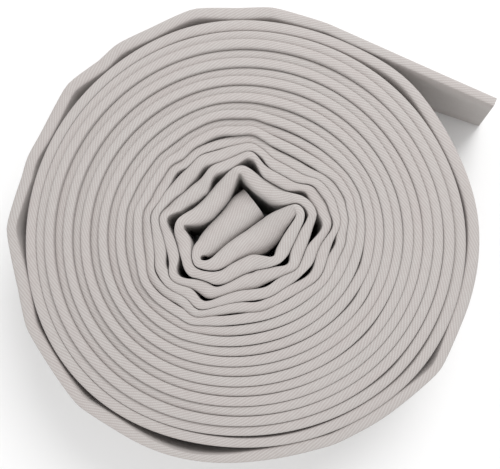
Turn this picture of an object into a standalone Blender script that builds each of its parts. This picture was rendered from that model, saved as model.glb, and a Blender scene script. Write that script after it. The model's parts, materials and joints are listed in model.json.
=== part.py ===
"""A rolled length of lay-flat fire hose, lying on the edges of its turns.

The hose is a woven outer jacket, a woven inner jacket and a rubber lining, one inside the other and
pressed flat. It is rolled from the inner end outwards, clockwise seen from above, and its outer end
leaves the roll in a straight line. That free end bends at four places, which are hinges here.
+Z is up, and the origin is under the middle of the roll's bounding box.
"""

import math

import bmesh
import bpy
import numpy as np

MM = 0.001                  # every length below is in millimetres, and is placed in metres

# The hose
FLAT_WIDTH = 107.0          # height of the roll
OUTER_JACKET_WALL = 1.3
INNER_JACKET_WALL = 1.0
LINING_WALL = 0.7
CLEARANCE = 0.3             # between neighbouring layers, and between neighbouring turns
EDGE_WALL = 3.2             # the outer jacket where it is folded, along both edges
EDGE_CHAMFER = 2.4          # stands in for the rounded fold
CLOSE_FIT = 0.96            # share of its room that a turn fills, so that flat facets stay clear

# The winding
SAMPLES = 96                # samples of a turn that the winding is worked out on
FACETS = 16                 # flat sides of a turn; the outermost one has twice as many
FULL_TURNS = 17             # the turn after these ends in the free end
CORE_GAP = 0.9              # what a puffed stretch in the middle gives up to stay clear
LEAST_PITCH = 7.6          # from one turn's outer face to the next one's
OUTER_PITCH_START = 10.5    # the same where the outermost turn begins
OUTER_PITCH = 12.2          # and on the rest of it
OUTER_PITCH_WITHIN = 30.0   # degrees of clock angle in between
EVENED_FROM = 4             # from this turn on, a turn evens out the one below
EVENED_OVER = 4             # over this many samples each way
PUFFED = (18.0, 9.0, 12.5)  # thickness of an inner, a middle and an outer turn with room to spare
PRESSED = 7.7               # thickness of the hose pressed flat
SPREAD = 0.57               # how much of the flat width the hose loses as it gets thicker
EGG = 1.767e-4              # per millimetre: the roll is this much wider on its +Y side
TALL = 1.005                # and a little longer that way than its turns are given below
TELESCOPE = 5.5             # how far every other turn stands above its neighbours
TELESCOPE_CLOCK = 300.0     # the side of the roll where that shows most
LEAVE_CLOCK = 22.5          # where the free end leaves the roll
FREE_LENGTH = 170.0         # from there to the cut end
TAIL_TURN = 1.5             # degrees that it turns in there

# The hinges of the free end
CREASE_CLOCKS = (311.0, 348.0, 367.5)   # creases of the outermost turn, 360 being the top again
CREASE_CUT = 0.3
TAIL_HINGE_ALONG = 78.0     # beyond the place where the hose leaves the roll
TAIL_CUT = 5.0              # wide enough for the tail to bend both ways

# The innermost stretch: x, y and thickness along its middle line. The inner end lies doubled in
# the middle of the roll, and the first turn goes round it.
CORE_ROUTE = (
    (10.8, 34.5, 34.3), (2, 27.5, 34.7), (-5, 20.2, 30.9), (-13.5, 11.9, 27.8), (-21.5, 4.5, 26.4),
    (-28.2, -2.3, 24.4), (-34.2, -8.8, 20.9), (-39.3, -12.6, 14.5), (-41.8, -16.8, 9.6), (-42, -21, 8),
    (-40.3, -24.6, 8.2), (-36.4, -26.2, 8.4), (-30.8, -26.6, 10.2), (-24.5, -24.9, 13.7),
    (-18, -20.6, 16.3), (-11, -15.2, 18.2), (-2.5, -9.8, 20.6), (4.2, -6.3, 23.1), (11.8, -3.1, 27.5),
    (18.6, 1, 28.8), (27, 8, 26.8), (30.7, 12, 24.2), (35.4, 16, 20.6), (40, 19.3, 17.3),
    (43.4, 21.9, 14.2), (46.9, 24.2, 11.4), (49.2, 25.4, 8.9), (52.2, 24, 8.2), (53.8, 20.4, 8.3),
    (53, 15.7, 9.1), (50.5, 10.6, 9.9), (47.2, 4.8, 11.2), (43.4, -2.2, 12.5), (40.4, -8, 12.8),
    (37.8, -13.5, 13.1), (34.9, -18.5, 10.8), (32.5, -21.2, 9.3), (27.2, -23.4, 9.5), (20, -23.8, 12.5),
    (10.9, -24, 15.8), (5, -26, 15.4), (-1.6, -28.9, 14.8), (-8.6, -32.8, 14.6), (-16.7, -37.3, 13.6),
    (-24, -38.6, 12.9), (-31, -37.3, 9.9), (-39.1, -35.3, 8.7), (-45.7, -32.6, 10.4),
    (-49.5, -27.2, 9.7), (-51.4, -20, 9.9), (-52.7, -12.6, 12.3), (-54, -5, 14), (-56.4, 1.2, 12.4),
    (-58, 6.1, 9.7), (-56.7, 12.3, 8.8), (-53, 15, 10.6), (-47.5, 17.2, 14.2), (-41.2, 19.8, 17.2),
    (-34.8, 24.2, 19.1), (-28, 31, 18.7), (-22.6, 37.4, 18.5), (-17.9, 43.8, 17.3), (-13.2, 50.2, 14.2),
    (-8.5, 56.6, 10.6), (-4.2, 60.6, 7.8), (0.5, 61, 8.9), (4, 58.7, 11), (8.4, 54.6, 13),
    (15.1, 48.6, 14.5), (23.4, 43.2, 15.5), (30.3, 39.2, 16), (36.8, 36.5, 14.5), (42.4, 35.4, 12),
    (48, 34.9, 9.3), (53.1, 33.8, 8.3), (57.2, 31.6, 8.3), (60.8, 28.4, 8.3), (63.5, 24.4, 8.3),
    (65, 19.5, 8.6), (64.6, 13, 9.6),
)
FIRST_TURN_AT = 28          # the point of CORE_ROUTE where the first turn begins
CORE_ENDS_AT = 78           # and where the stations of the second turn take over
TURN_START_CLOCK = 62.0     # a turn is counted from here

# The outer face of the last full turn: clock angle, counted on past the top, and radius
OUTLINE = (
    (62, 201.5), (90, 208), (135, 203), (180, 192), (225, 203), (270, 199.5), (315, 196), (360, 200),
    (370, 198.8), (385, 200), (395, 204), (405, 208), (422, 212),
)

# Where a turn stands off the one below: number of the turn, clock angle, height and half width
LIFTS = (
    (2, 7, 7.0, 7), (2, 54, 4.5, 5), (2, 73, 2.5, 6), (2, 121, 4.0, 8), (2, 207, 1.5, 6),
    (2, 240, 6.0, 8), (2, 284, 7.0, 9), (2, 336, 4.5, 9),
    (3, 12, 5.0, 6), (3, 53, 3.5, 5), (3, 83, 7.0, 9), (3, 112, 0.8, 7), (3, 153, 2.0, 10),
    (3, 211, 3.5, 8), (3, 248, 4.0, 7), (3, 284, 1.5, 10), (3, 331, 5.5, 9),
    (4, 84, 4.0, 6), (4, 119, 3.5, 9), (4, 165, 1.5, 12), (4, 211, 2.5, 6), (4, 245, 3.5, 7),
    (4, 282, 2.5, 8), (4, 315, 2.5, 7), (4, 341, 1.5, 6),
    (5, 94, 2.5, 5), (5, 118, 1.0, 8), (5, 236, 2.0, 7), (5, 345, 3.0, 14),
    (8, 103, 2.0, 6), (9, 120, 2.5, 6), (10, 117, 2.2, 6), (12, 128, 1.8, 6),
    (16, 133, 2.5, 7), (17, 46, 4.0, 10), (17, 128, 3.5, 10), (17, 170, 2.2, 16),
    (17, 345, 1.5, 5), (18, 84, 3.5, 10), (18, 195, 6.0, 14), (18, 25, -1.5, 14),
)

# Where the last turn is bent and stands off: clock angle, counted on past the top, and height. It is
# straight from one of these corners to where it rests on the turn below again.
CORNERS = (
    (124, 6.5), (156, 2.0), (224, 5.5), (247, 4.5), (272, 9.5), (290, 2.5), (311, 8.5),
    (326.5, 4.5), (348, 6.0), (367.5, 4.0),
)
CORNER_ROUNDING = 1.6       # degrees of clock angle

# Where a turn is thicker, or pressed thinner, than it would be: the same four numbers
SWELLS = (
    (2, 7, -1.7, 8), (2, 54, -1.0, 5), (2, 74, -1.5, 8), (2, 121, -1.5, 9), (2, 166, 3.6, 17),
    (2, 211, 2.5, 9), (2, 240, -1.0, 8), (2, 284, -1.5, 8), (2, 299, 7.0, 10), (2, 316, 4.8, 10),
    (3, 12, -1.0, 6), (3, 66, 2.2, 8), (3, 250, 2.2, 20), (3, 313, 4.5, 13), (3, 338, 4.0, 14),
)

BODY_NAMES = ("roll", "outer_turn_1", "outer_turn_2", "tail_root", "tail_tip")
SLIT = 0.3                  # the lining's two walls, where the hose is pressed flat
EDGE_ROUND = 0.4            # share of the thickness that the chamfers take away

LAYERS = (   # name, depth of its outer and inner face below the hose's surface, colour, roughness
    ("outer_jacket", 0.0, OUTER_JACKET_WALL, (0.62, 0.59, 0.55), 0.85),
    ("inner_jacket", OUTER_JACKET_WALL + CLEARANCE,
     OUTER_JACKET_WALL + CLEARANCE + INNER_JACKET_WALL, (0.55, 0.53, 0.49), 0.9),
    ("rubber_lining", OUTER_JACKET_WALL + INNER_JACKET_WALL + 2 * CLEARANCE,
     OUTER_JACKET_WALL + INNER_JACKET_WALL + 2 * CLEARANCE + LINING_WALL, (0.04, 0.04, 0.045), 0.6),
)


def smooth_route(points, parts):
    """Points along a centripetal Catmull-Rom curve, with this many parts between given points."""
    p = np.array(points, float)
    p = np.vstack([2 * p[0] - p[1], p, 2 * p[-1] - p[-2]])
    route = []
    for i in range(1, len(p) - 2):
        p0, p1, p2, p3 = p[i - 1:i + 3]
        steps = [math.sqrt(np.linalg.norm((b - a)[:2])) for a, b in ((p0, p1), (p1, p2), (p2, p3))]
        t1 = steps[0]
        t2 = t1 + steps[1]
        t3 = t2 + steps[2]
        for t in np.linspace(t1, t2, parts, endpoint=False):
            a1 = p0 + (p1 - p0) * t / t1
            a2 = p1 + (p2 - p1) * (t - t1) / (t2 - t1)
            a3 = p2 + (p3 - p2) * (t - t2) / (t3 - t2)
            b1 = a1 + (a2 - a1) * t / t2
            b2 = a2 + (a3 - a2) * (t - t1) / (t3 - t1)
            route.append(b1 + (b2 - b1) * (t - t1) / (t2 - t1))
    route.append(p[-2])
    return np.array(route)


def left_normals(route):
    """Unit vectors to the left of the way along a route: away from the roll's middle on a turn."""
    along = np.gradient(route[:, :2], axis=0)
    along /= np.linalg.norm(along, axis=1)[:, None]
    return np.stack([-along[:, 1], along[:, 0]], axis=1)


def outline_radius(clock):
    """Radius of OUTLINE at a clock angle of any turn."""
    clocks, radii = np.array(OUTLINE, float).T
    slopes = np.gradient(radii, clocks)
    clock = TURN_START_CLOCK + (clock - TURN_START_CLOCK) % 360
    i = min(int(np.searchsorted(clocks, clock, side="right")) - 1, len(clocks) - 2)
    width = clocks[i + 1] - clocks[i]
    u = (clock - clocks[i]) / width
    start = (2 * u**3 - 3 * u**2 + 1) * radii[i] + (u**3 - 2 * u**2 + u) * width * slopes[i]
    return start + (3 * u**2 - 2 * u**3) * radii[i + 1] + (u**3 - u**2) * width * slopes[i + 1]


def pitch_weight(turn):
    """How thick a turn is beside the others: the inner and the outer ones are looser."""
    return 1.0 + 0.32 * math.exp(-(turn - 1) / 1.8) + 0.28 * math.exp((turn - FULL_TURNS) / 1.5)


def bumps_at(table, clock):
    """The sum of a table's bumps at a clock angle that counts on from turn to turn."""
    total = 0.0
    for turn, where, height, half_width in table:
        turns_before = turn - 1 if where >= TURN_START_CLOCK else turn
        total += height * math.exp(-((clock - where - 360 * turns_before) / half_width) ** 2)
    return total


def evened_out(values, width):
    """Each value replaced by a mean of its neighbours, weighted by a bell of this half width."""
    far = math.ceil(3 * width)
    kernel = np.exp(-(np.arange(-far, far + 1) / width) ** 2)
    return np.convolve(np.pad(values, far, mode="edge"), kernel / kernel.sum(), mode="valid")


def corners_at(clocks, radii):
    """How far the last turn stands off the one below at its corners, for each of these clock angles."""
    heights = np.zeros(len(clocks))
    for where, height in CORNERS:
        away = np.hypot(clocks - where - 360 * FULL_TURNS, CORNER_ROUNDING)
        reach = np.degrees(np.sqrt(2 * height / radii))
        heights = np.maximum(heights, height * np.clip(1 - away / reach, 0, 1) ** 2)
    return heights


def wound_faces():
    """Clock angles that count on from turn to turn, the outer face's radius there, and the turn's room."""
    step = 360 / SAMPLES
    last_clock = 360 * (FULL_TURNS + 1) + LEAVE_CLOCK
    clocks = np.arange(0, last_clock + step / 2, step)
    per_point = SAMPLES // 8
    first_turn = smooth_route(CORE_ROUTE, per_point)[FIRST_TURN_AT * per_point:]
    face = first_turn[:, :2] + left_normals(first_turn) * first_turn[:, 2:] / 2
    face_clocks = np.degrees(np.unwrap(np.arctan2(face[:, 0], face[:, 1])))
    onward = np.concatenate([[True], np.diff(np.maximum.accumulate(face_clocks)) > 0])
    start = math.ceil(face_clocks[0] / step)
    radii = np.zeros(len(clocks))
    one_turn = slice(start, start + SAMPLES)
    radii[one_turn] = np.interp(clocks[one_turn], face_clocks[onward], np.hypot(*face[onward].T))
    unlifted = radii.copy()
    room_taken = np.zeros(len(clocks))
    for i in range(start + SAMPLES, len(clocks)):
        turn = (clocks[i] - clocks[start]) / 360
        evened = EVENED_OVER if turn > EVENED_FROM else 0
        below = unlifted[i - SAMPLES - evened:i - SAMPLES + evened + 1].mean()
        if turn < FULL_TURNS:
            weights = [pitch_weight(t) for t in np.arange(turn, FULL_TURNS, 1.0)]
            room = outline_radius(clocks[i]) - below
            unlifted[i] = below + max(room * weights[0] / sum(weights), LEAST_PITCH)
        else:
            swelling = min(1.0, (turn - FULL_TURNS) * 360 / OUTER_PITCH_WITHIN)
            unlifted[i] = below + OUTER_PITCH_START + (OUTER_PITCH - OUTER_PITCH_START) * swelling
        unlifted[i] += bumps_at(SWELLS, clocks[i])
        room_taken[i] = unlifted[i] - below
        radii[i] = max(unlifted[i] + bumps_at(LIFTS, clocks[i]), radii[i - SAMPLES] + LEAST_PITCH)
    sharp = evened_out(radii[start:], 0.9)
    smooth = evened_out(radii[start:], 4.5)
    share = np.clip(((clocks[start:] - clocks[start]) / 360 - 4) / 4, 0, 1)
    radii[start:] = sharp + (smooth - sharp) * share
    return clocks, radii, room_taken, start


def puffed_thickness(turn):
    """Thickness of a turn that nothing presses."""
    inner, middle, outer = PUFFED
    looser = (inner - middle) * math.exp(-turn / 3)
    return middle + looser + (outer - middle) * math.exp(min(0, turn - FULL_TURNS) / 1.5)


def height_above_floor(clock):
    """Every other turn stands a little higher. The outermost two and the core stand on the floor."""
    turn = (clock - TURN_START_CLOCK) / 360
    fade = min(1.0, max(0.0, turn - 1.5) / 3) * min(1.0, max(0.0, FULL_TURNS - 0.9 - turn) / 1.2)
    return fade * TELESCOPE * (1 + math.cos(math.radians(clock - TELESCOPE_CLOCK) / 2)) / 2


def station(outer, inner, floor, thickness):
    """One cross-section: the plan positions of its outer and inner face, its foot and its head."""
    return {
        "outer": np.array(outer, float),
        "inner": np.array(inner, float),
        "foot": floor,
        "head": floor + FLAT_WIDTH - SPREAD * (thickness - PRESSED),
    }


def core_stations(last):
    """Stations of the doubled inner end and of the first turn, up to a given point of CORE_ROUTE."""
    points = np.array(CORE_ROUTE, float)
    made = []
    for i in range(last + 1):
        before = points[i, :2] - points[max(i - 1, 0), :2]
        after = points[i + 1, :2] - points[i, :2]
        if i == 0:
            before = after
        before = before / np.linalg.norm(before)
        after = after / np.linalg.norm(after)
        along = (before + after) / np.linalg.norm(before + after)
        mitre = 1 / max(float(along @ after), 0.8)
        reach = np.array([-along[1], along[0]]) * mitre * (points[i, 2] - CORE_GAP) / 2
        made.append(station(points[i, :2] + reach, points[i, :2] - reach, 0.0, points[i, 2]))
    return made


def on_clock(clock, radius):
    """Plan position at a clock angle, which runs clockwise from +Y."""
    return radius * np.array([math.sin(math.radians(clock)), math.cos(math.radians(clock))])


def wanted_clocks(first, last):
    """Clock angles of the cross-sections from the second turn on."""
    spacing = 360 / FACETS
    outermost = 360 * FULL_TURNS
    start = math.ceil(first / spacing) * spacing
    wanted = list(np.arange(start, outermost + TURN_START_CLOCK, spacing))
    wanted += list(np.arange(wanted[-1] + spacing / 2, last - spacing / 4, spacing / 2))
    for clock, _ in CORNERS:
        wanted = [other for other in wanted if abs(other - clock - outermost) > spacing / 5]
        wanted.append(clock + outermost)
    return np.array(sorted(wanted + [last]))


def clear_of_below(clocks, faces, below_clocks, below_faces):
    """Radii of the inner face, raised where a flat side would cut a corner of the turn below."""
    faces = faces.copy()
    for clock, face in zip(below_clocks + 360, below_faces):
        i = int(np.searchsorted(clocks, clock, side="right")) - 1
        if i < 0 or i + 1 >= len(clocks):
            continue
        before = math.sin(math.radians(clock - clocks[i]))
        after = math.sin(math.radians(clocks[i + 1] - clock))
        whole = math.sin(math.radians(clocks[i + 1] - clocks[i]))
        side = faces[i] * faces[i + 1] * whole / (faces[i] * before + faces[i + 1] * after)
        faces[i:i + 2] += max(0.0, face + CLEARANCE - side)
    return faces


def wound_stations(core):
    """Stations from the second turn to where the free end leaves, with their clock angles."""
    fine_clocks, radii, room_taken, start = wound_faces()
    first = fine_clocks[start] + 360
    clocks = wanted_clocks(first, fine_clocks[-1])
    outer = np.interp(clocks, fine_clocks, radii)
    below = np.interp(clocks - 360, fine_clocks[start:], radii[start:])
    puffed = [puffed_thickness((clock - first) / 360 + 1) for clock in clocks]
    room = np.minimum(outer - below, np.interp(clocks, fine_clocks, room_taken))
    thick = np.minimum(np.maximum(room, LEAST_PITCH) * CLOSE_FIT - CLEARANCE, puffed)
    outer += corners_at(clocks, outer)
    inner = outer - thick
    first_turn = np.array([one["outer"] for one in core[FIRST_TURN_AT:]])
    first_clocks = np.degrees(np.unwrap(np.arctan2(first_turn[:, 0], first_turn[:, 1])))
    below_clocks = np.concatenate([first_clocks, clocks])
    below_faces = np.concatenate([np.hypot(*first_turn.T), outer])
    inner = clear_of_below(clocks, inner, below_clocks, below_faces)
    made = []
    for clock, out, into in zip(clocks, outer, inner):
        foot = height_above_floor(clock)
        made.append(station(on_clock(clock, out), on_clock(clock, into), foot, out - into))
    return clocks, made


def moved(one, offset):
    """A station carried along by an offset in plan."""
    return {**one, "outer": one["outer"] + offset, "inner": one["inner"] + offset}


def egg_shaped(point):
    """A plan position, moved to where it lies in the finished roll. Straight lines stay straight."""
    return point * (1, TALL) / (1 - EGG * point[1])


def bodies():
    """The roll and the four stretches of the free end: name, stations and hinge position."""
    core = core_stations(CORE_ENDS_AT)
    clocks, wound = wound_stations(core)
    chain = core + wound
    clocks = np.concatenate([np.full(len(core), -1.0), clocks])
    found = []
    names = iter(BODY_NAMES)
    opening = []
    hinge = None
    start = 0
    for crease in CREASE_CLOCKS:
        at = int(np.argmin(abs(clocks - crease - 360 * FULL_TURNS)))
        along = on_clock(crease + 90, CREASE_CUT / 2)
        found.append((next(names), opening + chain[start:at] + [moved(chain[at], -along)], hinge))
        opening = [moved(chain[at], along)]
        hinge = chain[at]["outer"]
        start = at + 1
    along = on_clock(LEAVE_CLOCK + 90 + TAIL_TURN, 1.0)
    near = moved(chain[-1], along * (TAIL_HINGE_ALONG - TAIL_CUT / 2))
    far = moved(chain[-1], along * (TAIL_HINGE_ALONG + TAIL_CUT / 2))
    end = moved(chain[-1], along * FREE_LENGTH)
    found.append((next(names), opening + chain[start:] + [near], hinge))
    middle = (chain[-1]["outer"] + chain[-1]["inner"]) / 2
    found.append((next(names), [far, end], middle + along * TAIL_HINGE_ALONG))
    return found


def ring(one, depth, chamfered):
    """One closed outline of a layer: a rectangle, or one with its corners cut off."""
    across = one["outer"] - one["inner"]
    thickness = float(np.linalg.norm(across))
    across /= thickness
    depth *= min(1.0, (thickness - SLIT) / (2 * LAYERS[-1][2]))
    middle = (one["outer"] + one["inner"]) / 2
    half = thickness / 2 - depth
    rise = depth + EDGE_WALL - OUTER_JACKET_WALL if depth else 0.0
    low = one["foot"] + rise
    high = one["head"] - rise
    if chamfered:
        flat = half * (1 - EDGE_ROUND)
        profile = [(-flat, low), (flat, low), (half, low + EDGE_CHAMFER), (half, high - EDGE_CHAMFER)]
        profile += [(flat, high), (-flat, high)]
        profile += [(-half, high - EDGE_CHAMFER), (-half, low + EDGE_CHAMFER)]
    else:
        profile = [(-half, low), (half, low), (half, high), (-half, high)]
    return [(*(middle + across * u), z) for u, z in profile]


def add_layer(name, stations, layer, origin, collection):
    """One layer of one stretch of hose, open at both ends.

    Its section changes along the way and its turns are flat-sided, so it is built ring by ring.
    """
    layer_name, outside, inside, colour, roughness = layer
    mesh = bmesh.new()
    chamfered = outside == 0.0
    rings = []
    for one in stations:
        both = []
        for depth, cut in ((outside, chamfered), (inside, False)):
            points = [(x - origin[0], y - origin[1], z - origin[2]) for x, y, z in ring(one, depth, cut)]
            both.append([mesh.verts.new([value * MM for value in point]) for point in points])
        rings.append(both)
    for before, after in zip(rings, rings[1:]):
        for here, there in zip(before, after):
            for i in range(len(here)):
                j = (i + 1) % len(here)
                mesh.faces.new((here[i], here[j], there[j], there[i]))
    for wide, narrow in (rings[0], rings[-1]):
        for i in range(4):
            j = (i + 1) % 4
            if chamfered:
                mesh.faces.new((wide[2 * i], wide[2 * i + 1], narrow[j], narrow[i]))
                mesh.faces.new((wide[2 * i + 1], wide[(2 * i + 2) % 8], narrow[j]))
            else:
                mesh.faces.new((wide[i], wide[j], narrow[j], narrow[i]))
    bmesh.ops.recalc_face_normals(mesh, faces=mesh.faces)
    data = bpy.data.meshes.new(f"{name}_{layer_name}")
    mesh.to_mesh(data)
    mesh.free()
    made = bpy.data.objects.new(f"{name}_{layer_name}", data)
    made.location = [value * MM for value in origin]
    made.data.materials.append(hose_material(layer_name, colour, roughness))
    collection.objects.link(made)


def hose_material(name, colour, roughness):
    """The material of one layer, made once."""
    material = bpy.data.materials.get(name)
    if material is None:
        material = bpy.data.materials.new(name)
        material.use_nodes = True
        shader = material.node_tree.nodes["Principled BSDF"]
        shader.inputs["Base Color"].default_value = (*colour, 1.0)
        shader.inputs["Roughness"].default_value = roughness
        shader.inputs["Metallic"].default_value = 0.0
    return material


def main():
    for other in list(bpy.data.objects):
        bpy.data.objects.remove(other, do_unlink=True)
    collection = bpy.data.collections.new("rolled_fire_hose")
    bpy.context.scene.collection.children.link(collection)
    stretches = []
    for name, stations, hinge in bodies():
        placed = [
            {**one, "outer": egg_shaped(one["outer"]), "inner": egg_shaped(one["inner"])}
            for one in stations
        ]
        stretches.append((name, placed, None if hinge is None else egg_shaped(hinge)))
    corners = [one[side] for _, stations, _ in stretches for one in stations for side in ("outer", "inner")]
    middle = (np.min(corners, axis=0) + np.max(corners, axis=0)) / 2
    for name, stations, hinge in stretches:
        centred = [moved(one, -middle) for one in stations]
        origin = (0.0, 0.0, 0.0) if hinge is None else (*(hinge - middle), 0.0)
        for layer in LAYERS:
            add_layer(name, centred, layer, origin, collection)


main()
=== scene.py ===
"""The rolled fire hose as it looks: one woven hose, modelled along its whole length.

The winding follows the CAD model's route, in finer steps and with rounded folds. It differs in its
closer turns, its slimmer stretches over gaps, its lower corners and the free end's leaning foot.
Lengths are in millimetres here and in metres in Blender. A clock angle runs clockwise from +Y, in
degrees, and in the winding it counts on from turn to turn.
"""

import json
import math

import bpy
import numpy as np
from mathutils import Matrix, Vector


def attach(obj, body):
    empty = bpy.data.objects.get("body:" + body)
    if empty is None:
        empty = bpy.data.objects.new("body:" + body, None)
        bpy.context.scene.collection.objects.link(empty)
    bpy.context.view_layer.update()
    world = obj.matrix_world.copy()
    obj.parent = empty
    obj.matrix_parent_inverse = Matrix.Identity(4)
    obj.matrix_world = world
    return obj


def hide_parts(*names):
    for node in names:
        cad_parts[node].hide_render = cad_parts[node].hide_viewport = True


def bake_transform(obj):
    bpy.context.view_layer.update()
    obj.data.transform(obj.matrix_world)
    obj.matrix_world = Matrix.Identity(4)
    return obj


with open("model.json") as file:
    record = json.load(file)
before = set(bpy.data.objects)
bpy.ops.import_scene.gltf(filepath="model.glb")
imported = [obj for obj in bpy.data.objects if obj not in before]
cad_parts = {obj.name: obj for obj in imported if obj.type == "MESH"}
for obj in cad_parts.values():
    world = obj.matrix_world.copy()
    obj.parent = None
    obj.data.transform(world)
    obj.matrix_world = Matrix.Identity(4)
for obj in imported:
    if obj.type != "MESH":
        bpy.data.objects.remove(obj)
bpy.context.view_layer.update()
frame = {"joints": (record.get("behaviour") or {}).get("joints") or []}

MM = 0.001

# The winding. All of this is as in the CAD model, apart from CLEARANCE and TELESCOPE.
FLAT_WIDTH = 107.0
CLEARANCE = 0.06            # the CAD model keeps 0.3 between turns, but cloth lies against cloth
SAMPLES = 96
FULL_TURNS = 17
LEAST_PITCH = 7.6
OUTER_PITCH_START = 10.5
OUTER_PITCH = 12.2
OUTER_PITCH_WITHIN = 30.0
PUFFED = (18.0, 9.0, 12.5)
PRESSED = 7.7
SPREAD = 0.57
EGG = 1.767e-4
TALL = 1.005
TELESCOPE = 4.0             # the CAD model's turns stand up to 5.5 proud
TELESCOPE_CLOCK = 300.0
LEAVE_CLOCK = 22.5
FREE_LENGTH = 170.0
TAIL_TURN = 1.5
CREASE_CLOCKS = (311.0, 348.0, 367.5)
TAIL_HINGE_ALONG = 78.0
CORE_ROUTE = (
    (10.8, 34.5, 34.3), (2, 27.5, 34.7), (-5, 20.2, 30.9), (-13.5, 11.9, 27.8), (-21.5, 4.5, 26.4),
    (-28.2, -2.3, 24.4), (-34.2, -8.8, 20.9), (-39.3, -12.6, 14.5), (-41.8, -16.8, 9.6), (-42, -21, 8),
    (-40.3, -24.6, 8.2), (-36.4, -26.2, 8.4), (-30.8, -26.6, 10.2), (-24.5, -24.9, 13.7),
    (-18, -20.6, 16.3), (-11, -15.2, 18.2), (-2.5, -9.8, 20.6), (4.2, -6.3, 23.1), (11.8, -3.1, 27.5),
    (18.6, 1, 28.8), (27, 8, 26.8), (30.7, 12, 24.2), (35.4, 16, 20.6), (40, 19.3, 17.3),
    (43.4, 21.9, 14.2), (46.9, 24.2, 11.4), (49.2, 25.4, 8.9), (52.2, 24, 8.2), (53.8, 20.4, 8.3),
    (53, 15.7, 9.1), (50.5, 10.6, 9.9), (47.2, 4.8, 11.2), (43.4, -2.2, 12.5), (40.4, -8, 12.8),
    (37.8, -13.5, 13.1), (34.9, -18.5, 10.8), (32.5, -21.2, 9.3), (27.2, -23.4, 9.5), (20, -23.8, 12.5),
    (10.9, -24, 15.8), (5, -26, 15.4), (-1.6, -28.9, 14.8), (-8.6, -32.8, 14.6), (-16.7, -37.3, 13.6),
    (-24, -38.6, 12.9), (-31, -37.3, 9.9), (-39.1, -35.3, 8.7), (-45.7, -32.6, 10.4),
    (-49.5, -27.2, 9.7), (-51.4, -20, 9.9), (-52.7, -12.6, 12.3), (-54, -5, 14), (-56.4, 1.2, 12.4),
    (-58, 6.1, 9.7), (-56.7, 12.3, 8.8), (-53, 15, 10.6), (-47.5, 17.2, 14.2), (-41.2, 19.8, 17.2),
    (-34.8, 24.2, 19.1), (-28, 31, 18.7), (-22.6, 37.4, 18.5), (-17.9, 43.8, 17.3), (-13.2, 50.2, 14.2),
    (-8.5, 56.6, 10.6), (-4.2, 60.6, 7.8), (0.5, 61, 8.9), (4, 58.7, 11), (8.4, 54.6, 13),
    (15.1, 48.6, 14.5), (23.4, 43.2, 15.5), (30.3, 39.2, 16), (36.8, 36.5, 14.5), (42.4, 35.4, 12),
    (48, 34.9, 9.3), (53.1, 33.8, 8.3), (57.2, 31.6, 8.3), (60.8, 28.4, 8.3), (63.5, 24.4, 8.3),
    (65, 19.5, 8.6), (64.6, 13, 9.6),
)
FIRST_TURN_AT = 28
CORE_ENDS_AT = 78
TURN_START_CLOCK = 62.0
OUTLINE = (
    (62, 201.5), (90, 208), (135, 203), (180, 192), (225, 203), (270, 199.5), (315, 196), (360, 200),
    (370, 198.8), (385, 200), (395, 204), (405, 208), (422, 212),
)
LIFTS = (
    (2, 7, 7.0, 7), (2, 54, 4.5, 5), (2, 73, 2.5, 6), (2, 121, 4.0, 8), (2, 207, 1.5, 6),
    (2, 240, 6.0, 8), (2, 284, 7.0, 9), (2, 336, 4.5, 9),
    (3, 12, 5.0, 6), (3, 53, 3.5, 5), (3, 83, 7.0, 9), (3, 112, 0.8, 7), (3, 153, 2.0, 10),
    (3, 211, 3.5, 8), (3, 248, 4.0, 7), (3, 284, 1.5, 10), (3, 331, 5.5, 9),
    (4, 84, 4.0, 6), (4, 119, 3.5, 9), (4, 165, 1.5, 12), (4, 211, 2.5, 6), (4, 245, 3.5, 7),
    (4, 282, 2.5, 8), (4, 315, 2.5, 7), (4, 341, 1.5, 6),
    (5, 94, 2.5, 5), (5, 118, 1.0, 8), (5, 236, 2.0, 7), (5, 345, 3.0, 14),
    (8, 103, 2.0, 6), (9, 120, 2.5, 6), (10, 117, 2.2, 6), (12, 128, 1.8, 6),
    (16, 133, 2.5, 7), (17, 46, 4.0, 10), (17, 128, 3.5, 10), (17, 170, 2.2, 16),
    (17, 345, 1.5, 5), (18, 84, 3.5, 10), (18, 195, 6.0, 14), (18, 25, -1.5, 14),
)
CORNERS = (
    (124, 6.5), (156, 2.0), (224, 5.5), (247, 4.5), (272, 9.5), (290, 2.5), (311, 8.5),
    (326.5, 4.5), (348, 6.0), (367.5, 4.0),
)
CORNER_ROUNDING = 1.6
EVENED_FROM = 4             # the turn from which each turn lies on the one below as it is on average
EVENED_OVER = 4             # over this many samples each way
NARROW = 0.9                # half widths, in samples, over which the inner and the outer turns are evened
WIDE = 4.5
WIDE_FROM = 4               # turns
WIDE_WITHIN = 4
SWELLS = (
    (2, 7, -1.7, 8), (2, 54, -1.0, 5), (2, 74, -1.5, 8), (2, 121, -1.5, 9), (2, 166, 3.6, 17),
    (2, 211, 2.5, 9), (2, 240, -1.0, 8), (2, 284, -1.5, 8), (2, 299, 7.0, 10), (2, 316, 4.8, 10),
    (3, 12, -1.0, 6), (3, 66, 2.2, 8), (3, 250, 2.2, 20), (3, 313, 4.5, 13), (3, 338, 4.0, 14),
)


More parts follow.
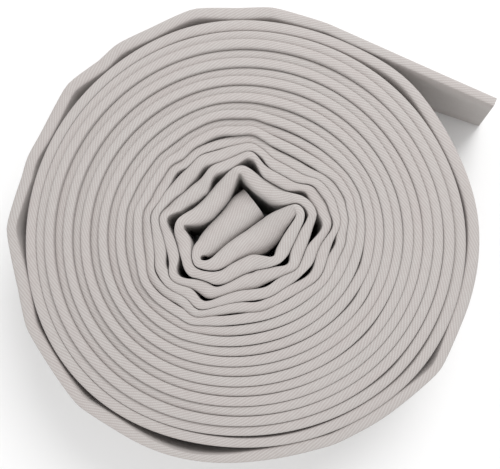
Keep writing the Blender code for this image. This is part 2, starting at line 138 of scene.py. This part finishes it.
def smooth_route(points, parts):
    """Points along a centripetal Catmull-Rom curve, with this many parts between given points."""
    p = np.array(points, float)
    p = np.vstack([2 * p[0] - p[1], p, 2 * p[-1] - p[-2]])
    route = []
    for i in range(1, len(p) - 2):
        p0, p1, p2, p3 = p[i - 1:i + 3]
        steps = [math.sqrt(np.linalg.norm((b - a)[:2])) for a, b in ((p0, p1), (p1, p2), (p2, p3))]
        t1 = steps[0]
        t2 = t1 + steps[1]
        t3 = t2 + steps[2]
        for t in np.linspace(t1, t2, parts, endpoint=False):
            a1 = p0 + (p1 - p0) * t / t1
            a2 = p1 + (p2 - p1) * (t - t1) / (t2 - t1)
            a3 = p2 + (p3 - p2) * (t - t2) / (t3 - t2)
            b1 = a1 + (a2 - a1) * t / t2
            b2 = a2 + (a3 - a2) * (t - t1) / (t3 - t1)
            route.append(b1 + (b2 - b1) * (t - t1) / (t2 - t1))
    route.append(p[-2])
    return np.array(route)


def left_normals(route):
    """Unit vectors to the left of the way along a route: away from the roll's middle on a turn."""
    along = np.gradient(route[:, :2], axis=0)
    along /= np.linalg.norm(along, axis=1)[:, None]
    return np.stack([-along[:, 1], along[:, 0]], axis=1)


def outline_radius(clock):
    """Radius of OUTLINE at a clock angle of any turn."""
    clocks, radii = np.array(OUTLINE, float).T
    slopes = np.gradient(radii, clocks)
    clock = TURN_START_CLOCK + (clock - TURN_START_CLOCK) % 360
    i = min(int(np.searchsorted(clocks, clock, side="right")) - 1, len(clocks) - 2)
    width = clocks[i + 1] - clocks[i]
    u = (clock - clocks[i]) / width
    start = (2 * u**3 - 3 * u**2 + 1) * radii[i] + (u**3 - 2 * u**2 + u) * width * slopes[i]
    return start + (3 * u**2 - 2 * u**3) * radii[i + 1] + (u**3 - u**2) * width * slopes[i + 1]


def pitch_weight(turn):
    """How thick a turn is beside the others: the inner and the outer ones are looser."""
    return 1.0 + 0.32 * math.exp(-(turn - 1) / 1.8) + 0.28 * math.exp((turn - FULL_TURNS) / 1.5)


def bumps_at(table, clock):
    """The sum of a table's bumps at a clock angle that counts on from turn to turn."""
    total = 0.0
    for turn, where, height, half_width in table:
        turns_before = turn - 1 if where >= TURN_START_CLOCK else turn
        total += height * math.exp(-((clock - where - 360 * turns_before) / half_width) ** 2)
    return total


def evened_out(values, width):
    """Each value replaced by a mean of its neighbours, weighted by a bell of this half width."""
    far = math.ceil(3 * width)
    kernel = np.exp(-(np.arange(-far, far + 1) / width) ** 2)
    return np.convolve(np.pad(values, far, mode="edge"), kernel / kernel.sum(), mode="valid")


def evened_by_turn(values, share):
    """Values evened out narrowly where share is 0 and widely where it is 1."""
    return evened_out(values, NARROW) * (1 - share) + evened_out(values, WIDE) * share


def corners_at(clocks, radii):
    """How far the last turn stands off the one below at its corners, for each of these clock angles."""
    heights = np.zeros(len(clocks))
    for where, height in CORNERS:
        away = np.hypot(clocks - where - 360 * FULL_TURNS, CORNER_ROUNDING)
        reach = np.degrees(np.sqrt(2 * height / radii))
        heights = np.maximum(heights, height * np.clip(1 - away / reach, 0, 1) ** 2)
    return heights


def wound_faces():
    """Clock angles that count on from turn to turn, the outer face's radius there, and the turn's room."""
    step = 360 / SAMPLES
    last_clock = 360 * (FULL_TURNS + 1) + LEAVE_CLOCK
    clocks = np.arange(0, last_clock + step / 2, step)
    per_point = SAMPLES // 8
    first_turn = smooth_route(CORE_ROUTE, per_point)[FIRST_TURN_AT * per_point:]
    face = first_turn[:, :2] + left_normals(first_turn) * first_turn[:, 2:] / 2
    face_clocks = np.degrees(np.unwrap(np.arctan2(face[:, 0], face[:, 1])))
    onward = np.concatenate([[True], np.diff(np.maximum.accumulate(face_clocks)) > 0])
    start = math.ceil(face_clocks[0] / step)
    radii = np.zeros(len(clocks))
    one_turn = slice(start, start + SAMPLES)
    radii[one_turn] = np.interp(clocks[one_turn], face_clocks[onward], np.hypot(*face[onward].T))
    unlifted = radii.copy()
    room_taken = np.zeros(len(clocks))
    for i in range(start + SAMPLES, len(clocks)):
        turn = (clocks[i] - clocks[start]) / 360
        evened = EVENED_OVER if turn > EVENED_FROM else 0
        below = unlifted[i - SAMPLES - evened:i - SAMPLES + evened + 1].mean()
        if turn < FULL_TURNS:
            weights = [pitch_weight(t) for t in np.arange(turn, FULL_TURNS, 1.0)]
            room = outline_radius(clocks[i]) - below
            unlifted[i] = below + max(room * weights[0] / sum(weights), LEAST_PITCH)
        else:
            swelling = min(1.0, (turn - FULL_TURNS) * 360 / OUTER_PITCH_WITHIN)
            unlifted[i] = below + OUTER_PITCH_START + (OUTER_PITCH - OUTER_PITCH_START) * swelling
        unlifted[i] += bumps_at(SWELLS, clocks[i])
        room_taken[i] = unlifted[i] - below
        radii[i] = max(unlifted[i] + bumps_at(LIFTS, clocks[i]), radii[i - SAMPLES] + LEAST_PITCH)
    share = np.clip(((clocks[start:] - clocks[start]) / 360 - WIDE_FROM) / WIDE_WITHIN, 0, 1)
    radii[start:] = evened_by_turn(radii[start:], share)
    # OUTLINE starts over a little before a turn does, so the room taken in between is bridged
    whole = (clocks - TURN_START_CLOCK) % 360 > clocks[start] - TURN_START_CLOCK - step / 2
    room_taken = np.interp(clocks, clocks[whole], room_taken[whole])
    room_taken[start:] = evened_by_turn(room_taken[start:], share)
    return clocks, radii, room_taken, start


def puffed_thickness(turn):
    """Thickness of a turn that nothing presses."""
    inner, middle, outer = PUFFED
    looser = (inner - middle) * np.exp(-turn / 3)
    return middle + looser + (outer - middle) * np.exp(np.minimum(0, turn - FULL_TURNS) / 1.5)


def height_above_floor(clock):
    """Every other turn stands a little higher. The outermost two and the core stand on the floor."""
    turn = (clock - TURN_START_CLOCK) / 360
    fade = np.clip((turn - 1.5) / 3, 0, 1) * np.clip((FULL_TURNS - 0.9 - turn) / 1.2, 0, 1)
    return fade * TELESCOPE * (1 + np.cos(np.radians(clock - TELESCOPE_CLOCK) / 2)) / 2


def on_clock(clock, radius):
    """Plan positions at clock angles, which run clockwise from +Y."""
    return np.stack([radius * np.sin(np.radians(clock)), radius * np.cos(np.radians(clock))], axis=-1)


def cubic(x, xs, ys):
    """Smooth interpolation of evenly spaced samples."""
    step = xs[1] - xs[0]
    at = np.clip((x - xs[0]) / step, 0, len(xs) - 1.000001)
    i = at.astype(int)
    u = at - i
    y = [ys[np.clip(i + k, 0, len(xs) - 1)] for k in (-1, 0, 1, 2)]
    rise = (y[2] - y[0]) / 2
    fall = (y[3] - y[1]) / 2
    start = (2 * u**3 - 3 * u**2 + 1) * y[1] + (u**3 - 2 * u**2 + u) * rise
    return start + (3 * u**2 - 2 * u**3) * y[2] + (u**3 - u**2) * fall


CORE_PARTS = 4
CORE_GAP = 0.6              # what a puffed stretch in the middle gives up to stay clear
FINE_STEP = 1.875           # degrees of clock angle between cross-sections of a turn
WOUND_FROM = 5.625          # degrees after the end of the first turn
TAIL_STEP = 4.0
SLIMMER = 0.3               # how much a turn thins where it stands off, as a share of the lift
SLIMMEST = 6.3              # before CORNERS and HOLLOWS thin it further
CORNER_SHOWS = 0.7          # share of a corner's height that shows on the outer face
HOLLOWS = (                 # turn, clock angle, how much wider the gap below it is, and half width
    (18, 193, 3.8, 18), (18, 234, 2.2, 10), (18, 287, 2.0, 14), (18, 338, 1.4, 12), (17, 46, 1.6, 9),
    (18, 382.5, 1.5, 14),
)


def hose_route():
    """Cross-sections along the hose: outer and inner face in plan, clock angle and height of the foot."""
    core = smooth_route(CORE_ROUTE[:CORE_ENDS_AT + 2], CORE_PARTS)[:CORE_ENDS_AT * CORE_PARTS + 1]
    reach = left_normals(core) * (core[:, 2:] - CORE_GAP) / 2
    clocks, radii, room_taken, start = wound_faces()
    first = clocks[start] + 360
    fine = np.arange(first + WOUND_FROM, clocks[-1] + 1e-6, FINE_STEP)
    out = cubic(fine, clocks, radii)
    below = cubic(fine - 360, clocks[start:], radii[start:])
    room = np.minimum(out - below, np.maximum(cubic(fine, clocks, room_taken), LEAST_PITCH))
    thick = np.minimum(room - CLEARANCE, puffed_thickness((fine - first) / 360 + 1))
    lifted = np.array([bumps_at(LIFTS, clock) for clock in fine])
    thick = np.maximum(thick - SLIMMER * np.maximum(lifted, 0), SLIMMEST)
    corner = corners_at(fine, out)
    hollow = np.array([bumps_at(HOLLOWS, clock) for clock in fine])
    thick = thick - (1 - CORNER_SHOWS) * corner - hollow
    out = out + CORNER_SHOWS * corner
    leave = fine[-1]
    along = on_clock(leave + 90 + TAIL_TURN, 1.0)
    steps = np.arange(TAIL_STEP, FREE_LENGTH + 1e-6, TAIL_STEP)
    tail_out = on_clock(leave, out[-1]) + steps[:, None] * along
    tail_in = on_clock(leave, out[-1] - thick[-1]) + steps[:, None] * along
    outer = np.concatenate([core[:, :2] + reach, on_clock(fine, out), tail_out])
    inner = np.concatenate([core[:, :2] - reach, on_clock(fine, out - thick), tail_in])
    feet = np.concatenate([np.zeros(len(core)), height_above_floor(fine), np.zeros(len(steps))])
    where = np.concatenate([np.full(len(core), -1.0), fine, leave + steps])
    radius = np.interp([CREASE_AT], clocks, radii)
    crease = on_clock(CREASE_AT, (radius + corners_at(np.array([CREASE_AT]), radius))[0])
    return outer, inner, where, feet, leave, crease


def egg_shaped(points):
    """Plan positions, moved to where they lie in the finished roll. Straight lines stay straight."""
    return points * (1, TALL) / (1 - EGG * points[:, 1:])


CREASE_AT = CREASE_CLOCKS[0] + 360 * FULL_TURNS
outer, inner, where, feet, leave, crease = hose_route()
outer = egg_shaped(outer)
crease = egg_shaped(crease[None])[0]
inner = egg_shaped(inner)

FOLD_STEPS = 8              # parts of each rounded fold
SIDE_STEPS = 3              # parts of each flat side
SQUARE = 0.62               # below 1, a fold is squarer than an ellipse
FLATTEST = 0.34             # height of a pressed fold, as a share of half its thickness
PUFFY_FROM = 4              # half thickness from which a fold is rounder
PUFFY_WITHIN = 10
LEAST_FOLD = 1.0
RAGGED = 0.5                # how far the folds stray up and down
RAGGED_LENGTH = 60
RAGGED_SEED = 3
SHARP_FROM = math.radians(70)
UV = "hose"
ROUND_THE_HOSE = 0.2175     # metres round the jacket
TWILL_ANGLE = math.radians(27)
RIB_PITCH = 0.0024
STITCH_PITCH = 0.0016
RIB_WOBBLE = 0.9            # of a rib's pitch
RIB_CREST = 0.7             # below 1, a rib is broader than the groove beside it
STITCH_DEPTH = 0.25
# how strongly shade is painted into the rib grooves
GROOVE_SHADE_DEPTH = 0.52
MOTTLE_CONTRAST = 0.25
GREYISH = (0.53, 0.525, 0.505)
PINKISH = (0.53, 0.49, 0.475)
# painted shade: the colour that the rib grooves darken towards
PAINTED_GROOVE_SHADE = (0.32, 0.26, 0.25)
FOOT_ON = 18.0              # how far the free end's foot lies beyond its head, at the cut
FOOT_OUT = 20.0             # and how far out from under it
FRAY = 0.4                  # how unevenly the cut threads end
FRAY_SEED = 7
BORE = (                    # depth under the surface, cross-sections back from the end, and material
    (1.2, 0, 1), (2.2, 0, 1), (2.7, 0, 2), (3.2, 1, 2), (3.4, 6, 2),
)


def frame_offset():
    """What takes the winding's plan to the CAD model's frame: the first crease is a joint there."""
    joint = {one["name"]: one for one in frame["joints"]}["crease_1"]
    return np.array(joint["pos_m"][:2]) / MM - crease


def waves(along, wavelength, seed):
    """Smooth noise from -1 to 1 along the hose."""
    knots = np.random.default_rng(seed).uniform(-1, 1, int(along[-1] / wavelength) + 4)
    return cubic(along / wavelength, np.arange(len(knots), dtype=float), knots)


def section(half, head, feet, fold):
    """Points round cross-sections, across and up: over the head, down a side, round the foot, and up."""
    turn = np.linspace(0, np.pi, FOLD_STEPS + 1)
    squarish = [abs(math.cos(a)) ** SQUARE * math.copysign(1, math.cos(a)) for a in turn]
    sides = np.linspace(0, 1, SIDE_STEPS + 1)[1:-1]
    u = [half * c for c in squarish]
    z = [head - fold + fold * math.sin(a) for a in turn]
    for share in sides:
        u.append(-half)
        z.append((head - fold) * (1 - share) + (feet + fold) * share)
    u += [-half * c for c in squarish]
    z += [feet + fold - fold * math.sin(a) for a in turn]
    for share in sides:
        u.append(half)
        z.append((feet + fold) * (1 - share) + (head - fold) * share)
    return np.stack(u, axis=1), np.stack(z, axis=1)


def rings_at(stations, inset=0.0):
    """Cross-sections of the hose in space, all round, this far inside its surface."""
    half = HALF[stations] - inset
    puffy = np.clip((half - PUFFY_FROM) / PUFFY_WITHIN, 0, 1)
    fold = np.maximum(half * (FLATTEST + (1 - FLATTEST) * puffy), LEAST_FOLD)
    u, z = section(half, HEAD[stations] - inset, feet[stations] + inset, fold)
    rings = np.empty((*u.shape, 3))
    rings[:, :, :2] = MIDDLE[stations][:, None] + ACROSS[stations][:, None] * u[:, :, None]
    rings[:, :, :2] += LEAN[stations][:, None] * (1 - z / HEAD[stations][:, None])[:, :, None]
    rings[:, :, 2] = z
    return rings


def distance_round(rings):
    """How far each point of a cross-section is round it from the top of the head fold."""
    steps = np.linalg.norm(np.roll(rings, -1, axis=1) - rings, axis=2)
    round_it = np.concatenate([np.zeros((len(rings), 1)), np.cumsum(steps, axis=1)], axis=1)
    return round_it - round_it[:, FOLD_STEPS // 2, None]


def add_mesh(name, vertices, faces, uvs, slots):
    """A smooth mesh object with its UV map and its materials."""
    data = bpy.data.meshes.new(name)
    data.from_pydata(vertices, [], faces)
    layer = data.uv_layers.new(name=UV)
    layer.data.foreach_set("uv", np.array(uvs, np.float32).ravel())
    data.polygons.foreach_set("use_smooth", [len(face) == 4 for face in faces])
    for material in (cloth, cut_cloth, rubber):
        data.materials.append(material)
    data.polygons.foreach_set("material_index", slots)
    data.set_sharp_from_angle(angle=SHARP_FROM)
    data.update()
    made = bpy.data.objects.new(name, data)
    bpy.context.scene.collection.objects.link(made)
    return made


def add_hose(name, first, last, open_near=False, open_far=False):
    """The hose from one cross-section to another: closed at a hinge, open at the hose's own ends."""
    rings = rings_at(np.arange(first, last + 1))
    round_it = distance_round(rings)
    along = ALONG[first:last + 1]
    slots = [0] * len(rings)
    if open_near:
        rings, round_it, along, slots = with_bore(rings, round_it, along, slots, first)
    if open_far:
        turned = with_bore(rings[::-1], round_it[::-1], along[::-1], slots, last)
        rings, round_it, along = [part[::-1] for part in turned[:3]]
        slots = turned[3][::-1]
    count = rings.shape[1]
    faces = []
    uvs = []
    materials = []
    for i in range(len(rings) - 1):
        for j in range(count):
            k = (j + 1) % count
            faces.append((i * count + j, i * count + k, (i + 1) * count + k, (i + 1) * count + j))
            uvs += [(along[i], round_it[i, j]), (along[i], round_it[i, j + 1])]
            uvs += [(along[i + 1], round_it[i + 1, j + 1]), (along[i + 1], round_it[i + 1, j])]
        materials += [max(slots[i], slots[i + 1])] * count
    near = tuple(range(count))
    far = tuple((len(rings) - 1) * count + j for j in reversed(range(count)))
    faces += [near[::-1], far[::-1]]
    uvs += [(along[0], 0.0)] * count + [(along[-1], 0.0)] * count
    materials += [slots[0], slots[-1]]
    return add_mesh(name, (rings * MM).reshape(-1, 3).tolist(), faces, np.array(uvs) * MM, materials)


def with_bore(rings, round_it, along, slots, at):
    """Cross-sections with an open end put before them: the cut walls, then the way back inside."""
    inward = 1 if at == 0 else -1
    added = []
    for depth, back, slot in BORE:
        ring = rings_at(np.array([at + inward * back]), depth)[0]
        if back == 0:
            way = np.array([ACROSS[at, 1], -ACROSS[at, 0]])
            ring[:, :2] += FRAY * np.random.default_rng(FRAY_SEED).uniform(-1, 1, (len(ring), 1)) * way
        added.append((ring, distance_round(ring[None])[0], slot))
    bore = added[::-1]
    rings = np.concatenate([[one[0] for one in bore], rings])
    round_it = np.concatenate([[one[1] for one in bore], round_it])
    along = np.concatenate([np.full(len(bore), along[0]), along])
    return rings, round_it, along, [one[2] for one in bore] + slots


def linked(tree, kind, inputs=(), **settings):
    """A shader node with its inputs set or linked."""
    made = tree.nodes.new(kind)
    for name, value in settings.items():
        setattr(made, name, value)
    for name, value in dict(inputs).items():
        if isinstance(value, bpy.types.NodeSocket):
            tree.links.new(value, made.inputs[name])
        else:
            made.inputs[name].default_value = value
    return made


def maths(tree, operation, *values, clamp=False):
    """The output of a math node with these values or sockets."""
    made = linked(tree, "ShaderNodeMath", enumerate(values), operation=operation, use_clamp=clamp)
    return made.outputs[0]


def twill_height(tree, u, v):
    """Diagonal ribs of yarn round the hose, each rib made of short stitches, from 0 to 1."""
    uv = linked(tree, "ShaderNodeCombineXYZ", {"X": u, "Y": v}).outputs[0]
    wobble = linked(tree, "ShaderNodeTexNoise", {"Vector": uv, "Scale": 70.0, "Detail": 3.0}).outputs["Fac"]
    strayed = maths(tree, "MULTIPLY", wobble, RIB_WOBBLE)
    across = maths(tree, "MULTIPLY_ADD", u, math.sin(TWILL_ANGLE) / RIB_PITCH, strayed)
    ribs = maths(tree, "MULTIPLY_ADD", v, math.cos(TWILL_ANGLE) / RIB_PITCH, across)
    wave = maths(tree, "SINE", maths(tree, "MULTIPLY", ribs, 2 * math.pi))
    rib = maths(tree, "POWER", maths(tree, "MULTIPLY_ADD", wave, 0.5, 0.5), RIB_CREST)
    down = maths(tree, "MULTIPLY", v, -math.sin(TWILL_ANGLE) / STITCH_PITCH)
    stitches = maths(tree, "MULTIPLY_ADD", u, math.cos(TWILL_ANGLE) / STITCH_PITCH, down)
    stitches = maths(tree, "MULTIPLY_ADD", maths(tree, "FLOOR", ribs), 0.5, stitches)
    stitch = maths(tree, "SINE", maths(tree, "MULTIPLY", stitches, 2 * math.pi))
    stitched = maths(tree, "MULTIPLY_ADD", stitch, STITCH_DEPTH, 1 - STITCH_DEPTH)
    return maths(tree, "MULTIPLY", rib, stitched)


def cloth_material():
    """Undyed twill with shade painted into its rib grooves, clearest over the folds and fainter on the
    flats, unevenly grey and pinkish.
    """
    material = bpy.data.materials.new("jacket_twill")
    material.use_nodes = True
    tree = material.node_tree
    shader = tree.nodes["Principled BSDF"]
    uv = linked(tree, "ShaderNodeUVMap", uv_map=UV).outputs["UV"]
    split = linked(tree, "ShaderNodeSeparateXYZ", {"Vector": uv}).outputs
    height = twill_height(tree, split["X"], split["Y"])
    around = maths(tree, "COSINE", maths(tree, "MULTIPLY", split["Y"], 4 * math.pi / ROUND_THE_HOSE))
    on_fold = linked(tree, "ShaderNodeMapRange", {"Value": around, "From Min": 0.3, "From Max": 0.9,
                                                  "To Min": 0.45, "To Max": 1.0}).outputs[0]
    streaks = linked(tree, "ShaderNodeMapping", {"Vector": uv, "Scale": (7.0, 60.0, 1.0)}).outputs[0]
    tint = linked(tree, "ShaderNodeTexNoise", {"Vector": streaks, "Scale": 1.0, "Detail": 4.0})
    tint = tint.outputs["Fac"]
    mottle = linked(tree, "ShaderNodeTexNoise", {"Vector": uv, "Scale": 160.0, "Detail": 4.0})
    mottle = mottle.outputs["Fac"]
    # painted shade in the rib grooves: the lower a rib, the nearer its colour comes to the groove colour.
    # The mottle adds random tone
    relief = maths(tree, "MULTIPLY", maths(tree, "SUBTRACT", height, 1.0), on_fold)
    shade = maths(tree, "MULTIPLY_ADD", relief, GROOVE_SHADE_DEPTH, 1.0)
    uneven = maths(tree, "SUBTRACT", mottle, 0.5)
    shade = maths(tree, "MULTIPLY_ADD", uneven, MOTTLE_CONTRAST, shade, clamp=True)
    base = linked(tree, "ShaderNodeMix", data_type="RGBA")
    tree.links.new(tint, base.inputs["Factor"])
    base.inputs[6].default_value = (*PINKISH, 1)
    base.inputs[7].default_value = (*GREYISH, 1)
    mixed = linked(tree, "ShaderNodeMix", data_type="RGBA")
    tree.links.new(shade, mixed.inputs["Factor"])
    mixed.inputs[6].default_value = (*PAINTED_GROOVE_SHADE, 1)
    tree.links.new(base.outputs[2], mixed.inputs[7])
    tree.links.new(mixed.outputs[2], shader.inputs["Base Color"])
    rough = linked(tree, "ShaderNodeMapRange", {"Value": height, "To Min": 0.95, "To Max": 0.78}).outputs[0]
    tree.links.new(rough, shader.inputs["Roughness"])
    shader.inputs["Sheen Weight"].default_value = 0.12
    shader.inputs["Sheen Roughness"].default_value = 0.5
    bump = linked(tree, "ShaderNodeBump", {"Height": height, "Strength": 0.35, "Distance": 0.0005})
    tree.links.new(bump.outputs["Normal"], shader.inputs["Normal"])
    return material


def grained_material(name, low, high, roughness, scale):
    """A grain between two colours, for cut threads and for rubber."""
    material = bpy.data.materials.new(name)
    material.use_nodes = True
    tree = material.node_tree
    shader = tree.nodes["Principled BSDF"]
    grain = linked(tree, "ShaderNodeTexNoise", {"Scale": scale, "Detail": 4.0}).outputs["Fac"]
    mixed = linked(tree, "ShaderNodeMix", data_type="RGBA")
    tree.links.new(grain, mixed.inputs["Factor"])
    mixed.inputs[6].default_value = (*low, 1)
    mixed.inputs[7].default_value = (*high, 1)
    tree.links.new(mixed.outputs[2], shader.inputs["Base Color"])
    between = {"Value": grain, "To Min": roughness - 0.1, "To Max": roughness + 0.1}
    rough = linked(tree, "ShaderNodeMapRange", between)
    tree.links.new(rough.outputs[0], shader.inputs["Roughness"])
    bump = linked(tree, "ShaderNodeBump", {"Height": grain, "Strength": 0.5, "Distance": 0.0002})
    tree.links.new(bump.outputs["Normal"], shader.inputs["Normal"])
    return material


offset = frame_offset()
outer += offset
inner += offset
MIDDLE = (outer + inner) / 2
ACROSS = outer - inner
THICKNESS = np.linalg.norm(ACROSS, axis=1)
ACROSS /= THICKNESS[:, None]
HALF = THICKNESS / 2
ALONG = np.concatenate([[0], np.cumsum(np.linalg.norm(np.diff(MIDDLE, axis=0), axis=1))])
on_tail = np.clip((where - leave) / FREE_LENGTH, 0, 1)
tail_way = (MIDDLE[-1] - MIDDLE[-2]) / np.linalg.norm(MIDDLE[-1] - MIDDLE[-2])
LEAN = on_tail[:, None] * (FOOT_ON * tail_way + FOOT_OUT * np.array([-tail_way[1], tail_way[0]]))
rise = RAGGED * (waves(ALONG, RAGGED_LENGTH, RAGGED_SEED) - 1)
HEAD = feet + FLAT_WIDTH - SPREAD * (THICKNESS - PRESSED) + rise
cloth = cloth_material()
cut_cloth = grained_material("cut_threads", (0.34, 0.31, 0.29), (0.66, 0.63, 0.59), 0.9, 900.0)
rubber = grained_material("lining_rubber", (0.012, 0.013, 0.015), (0.035, 0.036, 0.04), 0.55, 400.0)


def at_clock(clock):
    """The cross-section nearest a clock angle of the last turn."""
    return int(np.argmin(abs(where - clock - 360 * FULL_TURNS)))


def at_tail(length):
    """The cross-section nearest a distance along the free end."""
    return int(np.argmin(abs(where - leave - length)))


# Each piece but the first crosses one joint. It ends on the stretch between that joint and the next.
PIECE_END_CLOCKS = (298, 330, 358)
PIECE_END_ON_TAIL = 30
BLEND_SPANS = (4, 3, 3, 5)  # cross-sections each side of a joint
ends = [0, *[at_clock(clock) for clock in PIECE_END_CLOCKS], at_tail(PIECE_END_ON_TAIL), len(where) - 1]
names = ["hose_roll", "hose_bend_1", "hose_bend_2", "hose_bend_3", "hose_bend_4"]
pieces = [add_hose(name, a, b, a == 0, b == ends[-1]) for name, a, b in zip(names, ends, ends[1:])]
BODIES = ("roll", "outer_turn_1", "outer_turn_2", "tail_root", "tail_tip")
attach(pieces[0], "roll")
crease_at = [at_clock(clock) for clock in CREASE_CLOCKS] + [at_tail(TAIL_HINGE_ALONG)]
for i, (piece, at, span) in enumerate(zip(pieces[1:], crease_at, BLEND_SPANS)):
    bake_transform(piece)
for i, piece in enumerate(pieces):
    stands_for = [f"{BODIES[i]}_{layer}" for layer in ("outer_jacket", "inner_jacket", "rubber_lining")]
    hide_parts(*stands_for)

# Floor, light and camera
data = bpy.data.meshes.new("floor")
data.from_pydata([(-3, -3, 0), (3, -3, 0), (3, 3, 0), (-3, 3, 0)], [], [(0, 1, 2, 3)])
floor = bpy.data.objects.new("floor", data)
floor.location.z = -0.0002
bpy.context.scene.collection.objects.link(floor)
paper = bpy.data.materials.new("floor_paper")
paper.use_nodes = True
paper.node_tree.nodes["Principled BSDF"].inputs["Base Color"].default_value = (0.9, 0.9, 0.9, 1)
paper.node_tree.nodes["Principled BSDF"].inputs["Roughness"].default_value = 0.9
data.materials.append(paper)


def add_light(name, location, target, size, power):
    """A round area light that faces its target."""
    data = bpy.data.lights.new(name, "AREA")
    data.shape = "DISK"
    data.size = size
    data.energy = power
    made = bpy.data.objects.new(name, data)
    made.location = location
    direction = Vector(target) - Vector(location)
    made.rotation_euler = direction.to_track_quat("-Z", "Y").to_euler()
    bpy.context.scene.collection.objects.link(made)


add_light("key", (0.45, 1.0, 1.4), (0, 0, 0.1), 1.0, 17)
add_light("fill", (-0.5, -1.2, 0.7), (0.1, 0.1, 0.08), 1.2, 5)
world = bpy.data.worlds.new("studio")
world.use_nodes = True
world.node_tree.nodes["Background"].inputs["Color"].default_value = (1, 1, 1, 1)
world.node_tree.nodes["Background"].inputs["Strength"].default_value = 0.72
bpy.context.scene.world = world
bpy.context.scene.view_settings.view_transform = "Standard"

# The camera looks almost straight down, leaning a little towards +Y
FOCAL_LENGTH = 45.7
TILT = math.radians(5.89)
DISTANCE = 584.0
AIM = (7.4, 1.4, 105.5)     # in the winding's plan
aim = np.array([AIM[0] + offset[0], AIM[1] + offset[1], AIM[2]])
camera = bpy.data.cameras.new("camera")
camera.lens = FOCAL_LENGTH
camera.sensor_width = 36.0
camera.clip_start = 0.01
view = bpy.data.objects.new("camera", camera)
view.location = (aim + DISTANCE * np.array([0, -math.sin(TILT), math.cos(TILT)])) * MM
view.rotation_euler = (TILT, 0, 0)
bpy.context.scene.collection.objects.link(view)
bpy.context.scene.camera = view
